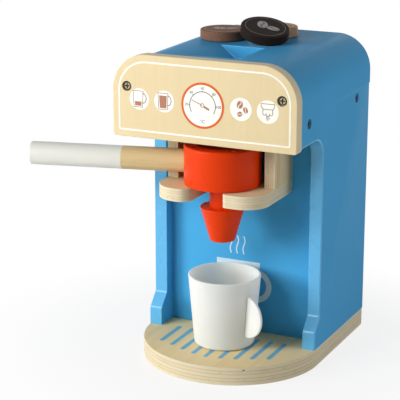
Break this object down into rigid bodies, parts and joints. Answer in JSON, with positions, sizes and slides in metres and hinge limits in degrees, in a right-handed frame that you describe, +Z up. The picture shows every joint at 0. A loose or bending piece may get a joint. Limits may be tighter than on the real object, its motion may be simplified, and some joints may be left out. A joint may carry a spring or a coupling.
{
  "type": "toy espresso machine",
  "caption": "Toy espresso machine of painted plywood: half-round base, hooded columns, arched front panel, filter holder in a slotted fork, funnel hopper, cup and loose coffee discs.",
  "frame": {"origin": "centre of the base board's underside, on the table, midway between the front of the half-round base and the back of the body", "axes": "+Z up, +Y to the back of the machine, +X to the right as a child in front of it sees it"},
  "size_m": [0.2354, 0.186, 0.275],
  "materials": {
    "natural_plywood": "clear satin lacquer on birch plywood",
    "dowel_wood": "sanded beech under clear lacquer",
    "blue_paint": "gloss blue paint on plywood",
    "orange_paint": "gloss orange paint on turned wood",
    "white_paint": "satin white paint on turned wood",
    "brown_stain": "satin brown stain",
    "dark_stain": "satin black-brown stain",
    "tan_stain": "satin tan stain",
    "bright_steel": "bright zinc plated",
    "dark_steel": "dark bronze plated"
  },
  "bodies": {
    "machine": {"base_board": "natural_plywood", "side_panel_left": "blue_paint", "side_panel_right": "blue_paint", "splash_panel": "blue_paint", "rear_panel": "blue_paint", "deck_board": "natural_plywood", "roof": "blue_paint", "front_panel": "natural_plywood", "fork_plate": "natural_plywood", "cheek_left": "natural_plywood", "cheek_right": "natural_plywood", "cheek_pins": "dowel_wood", "roof_pins": "dowel_wood", "rear_pins": "dowel_wood", "panel_screws": "bright_steel", "side_screws": "dark_steel", "base_screws": "bright_steel", "fork_screws": "bright_steel"},
    "holder_spout": {"spout": "orange_paint"},
    "holder": {"filter_puck": "orange_paint", "handle": "dowel_wood"},
    "cup": {"cup_body": "white_paint", "cup_ear": "white_paint"},
    "brown_disc": {"disc_brown": "brown_stain"},
    "dark_disc": {"disc_dark": "dark_stain"},
    "tan_disc": {"disc_tan": "tan_stain"}
  },
  "joints": [
    {"name": "holder_slide", "type": "slide", "parent": "machine", "child": "holder_spout", "axis": [0, -1, 0], "range_m": [0, 0.105]},
    {"name": "holder_turn", "type": "hinge", "parent": "holder_spout", "child": "holder", "pos_m": [0, -0.0405, 0.1518], "axis": [0, 0, 1], "range_deg": [0, 150]},
    {"name": "cup_lift", "type": "slide", "parent": "machine", "child": "cup", "axis": [0, -0.9659, 0.2588], "range_m": [0, 0.11]},
    {"name": "brown_disc_lift", "type": "slide", "parent": "machine", "child": "brown_disc", "axis": [-0.9703, 0, 0.2419], "range_m": [0, 0.06]},
    {"name": "dark_disc_lift", "type": "slide", "parent": "machine", "child": "dark_disc", "axis": [0, 0, 1], "range_m": [0, 0.06]},
    {"name": "tan_disc_lift", "type": "slide", "parent": "machine", "child": "tan_disc", "axis": [0, 0.9903, 0.1392], "range_m": [0, 0.05]}
  ]
}
